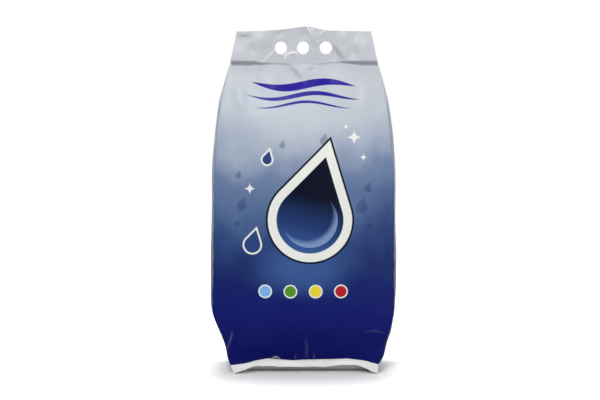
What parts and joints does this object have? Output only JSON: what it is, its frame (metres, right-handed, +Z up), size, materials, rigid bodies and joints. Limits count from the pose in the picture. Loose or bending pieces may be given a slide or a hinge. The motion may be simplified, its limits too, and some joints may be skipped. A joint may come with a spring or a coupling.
{
  "type": "laundry detergent bag",
  "caption": "Standing side-gusseted film bag of washing powder, welded shut at top and bottom, with a flat punched carrying header and a strip of film below the bottom weld.",
  "frame": {"origin": "on the floor, under the middle of the bag's width and depth", "axes": "+Z up, +X along the bag's width to the right as seen from the front, front towards -Y"},
  "size_m": [0.326, 0.124, 0.608],
  "materials": {
    "printed_film": "glossy polyethylene film, printed from pale grey at the top to navy at the foot"
  },
  "bodies": {
    "root": {"detergent_bag": "printed_film"}
  },
  "joints": []
}
